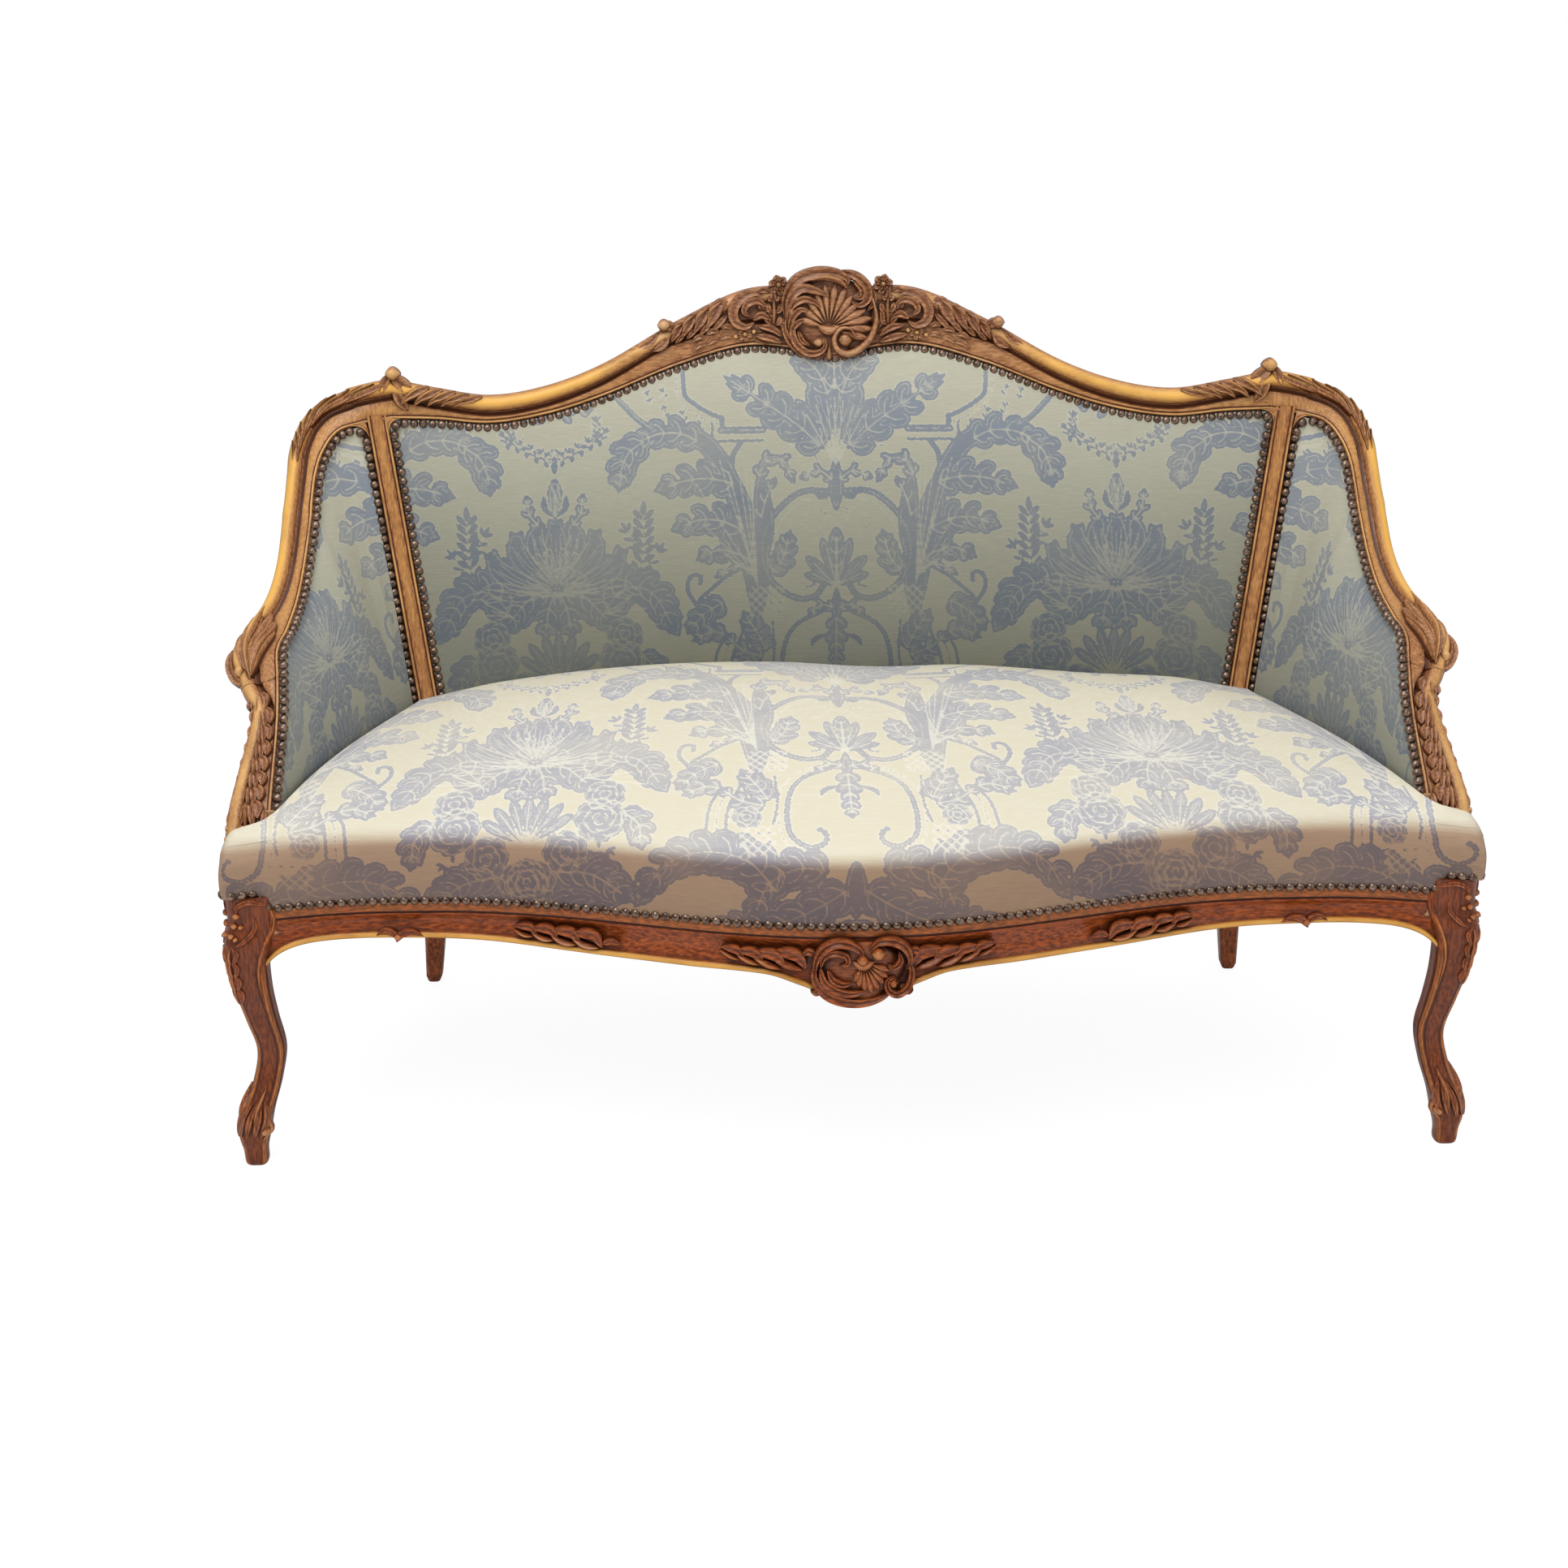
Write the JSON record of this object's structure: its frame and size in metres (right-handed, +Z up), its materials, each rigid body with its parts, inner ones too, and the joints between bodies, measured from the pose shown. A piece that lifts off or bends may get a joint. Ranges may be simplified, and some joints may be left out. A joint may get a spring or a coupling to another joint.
{
  "type": "cabriole sofa",
  "caption": "Cabriole sofa with a serpentine carved crest rail, basket arms that sweep down to the seat, a sprung tight seat, damask upholstery and cabriole front legs.",
  "frame": {"origin": "on the floor under the middle of the whole sofa", "axes": "+X to the right as seen from the front, +Y to the back, +Z up"},
  "size_m": [1.4892, 0.7355, 0.9756],
  "materials": {
    "show_wood": "carved walnut, waxed, with worn gilding on the raised mouldings",
    "frame_wood": "plain beech, unpolished where hidden",
    "damask": "woven damask, blue-grey on cream",
    "stuffing": "horsehair and cotton wadding",
    "canvas": "hessian",
    "webbing": "jute webbing",
    "spring_steel": "coppered spring wire",
    "dust_cloth": "thin black lining cloth"
  },
  "bodies": {
    "root": {"crest_rail": "show_wood", "arm_rail_right": "show_wood", "arm_rail_left": "show_wood", "arm_support_right": "show_wood", "arm_support_left": "show_wood", "front_leg_right": "show_wood", "front_leg_left": "show_wood", "rear_post_right": "show_wood", "rear_post_left": "show_wood", "front_rail": "show_wood", "joint_pegs": "show_wood", "side_rail_right": "frame_wood", "side_rail_left": "frame_wood", "rear_rail": "frame_wood", "back_lower_rail": "frame_wood", "back_uprights": "frame_wood", "arm_stay_rail_right": "frame_wood", "arm_stay_rail_left": "frame_wood", "seat_brace": "frame_wood", "front_corner_block_right": "frame_wood", "front_corner_block_left": "frame_wood", "rear_corner_block_right": "frame_wood", "rear_corner_block_left": "frame_wood", "seat_cover": "damask", "back_cover": "damask", "arm_cover_right": "damask", "arm_cover_left": "damask", "outside_back": "damask", "outside_arm_right": "damask", "outside_arm_left": "damask", "seat_stuffing": "stuffing", "back_stuffing": "stuffing", "arm_stuffing_right": "stuffing", "arm_stuffing_left": "stuffing", "seat_canvas": "canvas", "back_canvas": "canvas", "seat_webbing": "webbing", "back_webbing": "webbing", "seat_springs": "spring_steel", "dust_cover": "dust_cloth"}
  },
  "joints": []
}
